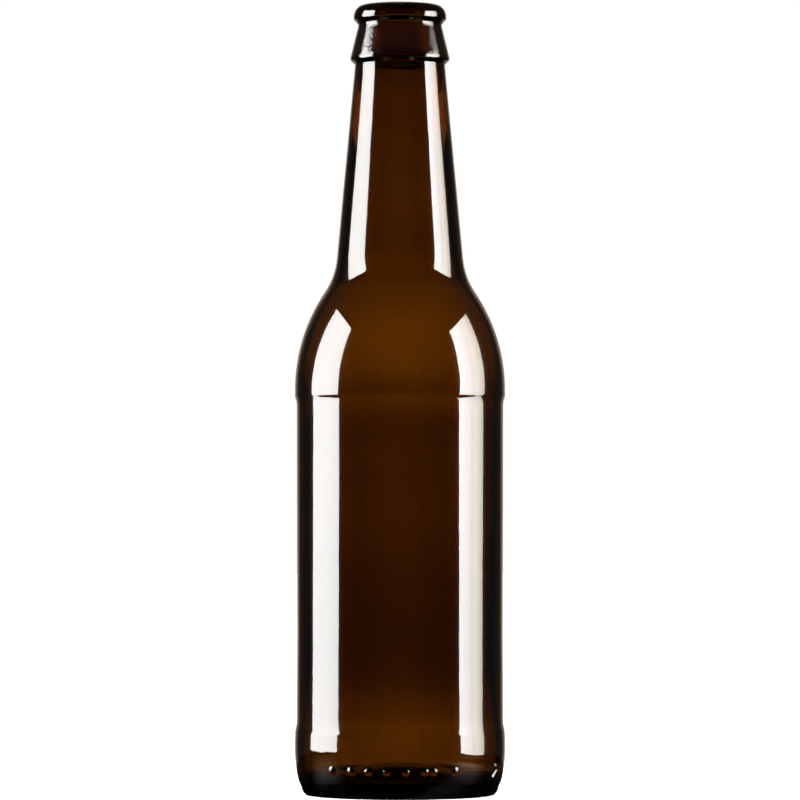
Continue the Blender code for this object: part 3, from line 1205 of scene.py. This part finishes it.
# %% Angles and lights of the world
WINDOW_HALF = np.radians((20.0, 28.0))
WINDOW_TOP = np.radians((16.0, 24.0))
WINDOW_FOOT = np.radians((-13.0, -7.0))
FLOOR_BESIDE = np.radians((60.0, 90.0))
FLOOR_BEFORE = np.radians((-50.0, -38.0))
FLOOR_LIGHT = 0.6
MIRROR_FOOT = np.radians((-30.0, -12.0))
RIM_HALF = np.radians((12.0, 30.0))
FRONT_HALF = np.radians((70.0, 120.0))
BLACK = (0.0, 0.0, 0.0, 1.0)
WHITE = (1.0, 1.0, 1.0, 1.0)
RIM_LIGHT = (0.50, 0.39, 0.31, 1.0)
SIDE_LIGHT = (0.045, 0.040, 0.036, 1.0)
FRONT_LIGHT = (0.012, 0.012, 0.012, 1.0)
FLOOD_LIGHT = (1.8, 1.8, 1.8, 1.0)
print("the window is", round(2 * math.degrees(WINDOW_HALF[1])), "degrees wide")

# %% Lights laid over each other
# A Mix node keeps its colours in inputs 6 and 7, and their mix in output 2.
MIX_FIRST, MIX_LAST, MIXED = 6, 7, 2


def laid_over(tree, colour, layers):
    """A colour with others laid over it in turn, from a list of (share, colour)."""
    for share, light in layers:
        mix = {0: share, MIX_FIRST: colour, MIX_LAST: light}
        colour = add(tree, "ShaderNodeMix", mix, data_type="RGBA").outputs[MIXED]
    return colour


print("a Mix node's colours are inputs", MIX_FIRST, "and", MIX_LAST)

# %% What comes through the glass


def light_through(tree, parts, aside, turn, climb):
    """The strength of what a ray sees when it comes out of the glass."""
    ahead = add(tree, "ShaderNodeMath", {0: parts.outputs["Y"]}, operation="ABSOLUTE")
    either = add(tree, "ShaderNodeMath", {0: aside, 1: ahead}, operation="ARCTAN2")
    wide = span(either, WINDOW_HALF, 1.0, 0.0)
    top = span(climb, WINDOW_TOP, 1.0, 0.0)
    light = where_all(tree, wide, top, span(climb, WINDOW_FOOT, 0.0, 1.0))
    beside = span(turn, FLOOR_BESIDE, 0.0, FLOOR_LIGHT)
    far_paper = where_all(tree, beside, span(climb, WINDOW_FOOT, 1.0, 0.0))
    near_paper = where_all(tree, span(climb, FLOOR_BEFORE, FLOOR_LIGHT, 0.0))
    for paper_part in (far_paper, near_paper):
        light = add(tree, "ShaderNodeMath", {0: light, 1: paper_part}, operation="MAXIMUM")
    return light


print("the floor shows from", round(math.degrees(WINDOW_FOOT[1])), "degrees down")

# %% What a face mirrors


def light_mirrored(tree, turn, climb):
    """The colour of what a mirror reflection sees."""
    front = where_all(tree, span(turn, FRONT_HALF, 0.0, 1.0))
    rim = where_all(tree, span(turn, RIM_HALF, 1.0, 0.0))
    below = where_all(tree, span(climb, MIRROR_FOOT, 1.0, 0.0))
    layers = ((front, FRONT_LIGHT), (rim, RIM_LIGHT), (below, BLACK))
    return laid_over(tree, SIDE_LIGHT, layers)


print("the rim is", RIM_LIGHT[:3])

# %% Light the studio


def studio_world():
    """What each kind of light ray meets when it leaves the bottle and hits nothing."""
    world = bpy.data.worlds.new("studio")
    world.use_nodes = True
    tree = world.node_tree
    tree.nodes.clear()
    way = add(tree, "ShaderNodeTexCoord").outputs["Generated"]
    parts = add(tree, "ShaderNodeSeparateXYZ", {"Vector": way})
    aside = add(tree, "ShaderNodeMath", {0: parts.outputs["X"]}, operation="ABSOLUTE")
    level_way = {0: aside, 1: parts.outputs["Y"]}
    turn = add(tree, "ShaderNodeMath", level_way, operation="ARCTAN2")
    climb = add(tree, "ShaderNodeMath", {0: parts.outputs["Z"]}, operation="ARCSINE")
    share = light_through(tree, parts, aside, turn, climb)
    path = add(tree, "ShaderNodeLightPath").outputs
    lights = (
        (path["Is Glossy Ray"], light_mirrored(tree, turn, climb)),
        (path["Is Transmission Ray"], laid_over(tree, BLACK, [(share, WHITE)])),
        (path["Is Camera Ray"], WHITE),
    )
    seen = laid_over(tree, FLOOD_LIGHT, lights)
    light = add(tree, "ShaderNodeBackground", {"Color": seen})
    add(tree, "ShaderNodeOutputWorld", {"Surface": light})
    return world


scene = bpy.context.scene
scene.world = studio_world()
scene.view_settings.view_transform = "Standard"
print("studio lit")

# %% Bounces
# Light crosses four faces of glass and bounces to and fro inside each wall.
BOUNCES = 24
MIRROR_BOUNCES = 16
scene.cycles.max_bounces = BOUNCES
scene.cycles.transmission_bounces = BOUNCES
scene.cycles.glossy_bounces = MIRROR_BOUNCES
print("light may bounce", BOUNCES, "times")

# %% [markdown]
# ## Camera
# A long lens far away keeps a bottle's sides parallel. The eye is at a third of its
# height, so the foot's ring is seen from above and the lip's from below. The lens is
# worked out from the height that has to be in sight at the bottle's distance.

# %% Camera
EYE_DISTANCE = 1.35
EYE_Z = 0.078
AIM_Z = 0.1143
SEEN_HEIGHT = 0.2321
SENSOR = 36.0
NEAREST = 0.05


def product_camera():
    """A long lens in front of the bottle, at a third of its height."""
    data = bpy.data.cameras.new("camera")
    data.sensor_width = SENSOR
    data.lens = SENSOR * EYE_DISTANCE / SEEN_HEIGHT
    data.clip_start = NEAREST
    eye = bpy.data.objects.new("camera", data)
    eye.location = (0.0, -EYE_DISTANCE, EYE_Z)
    way = Vector((0.0, 0.0, AIM_Z)) - eye.location
    eye.rotation_euler = way.to_track_quat("-Z", "Y").to_euler()
    scene.collection.objects.link(eye)
    return eye


scene.camera = product_camera()
print("lens", round(scene.camera.data.lens), "mm")

# %% [markdown]
# ## Last update
# The view layer is brought up to date. The skin has to stay inside the box of the solid
# that it stands for.

# %% Update the view layer
bpy.context.view_layer.update()
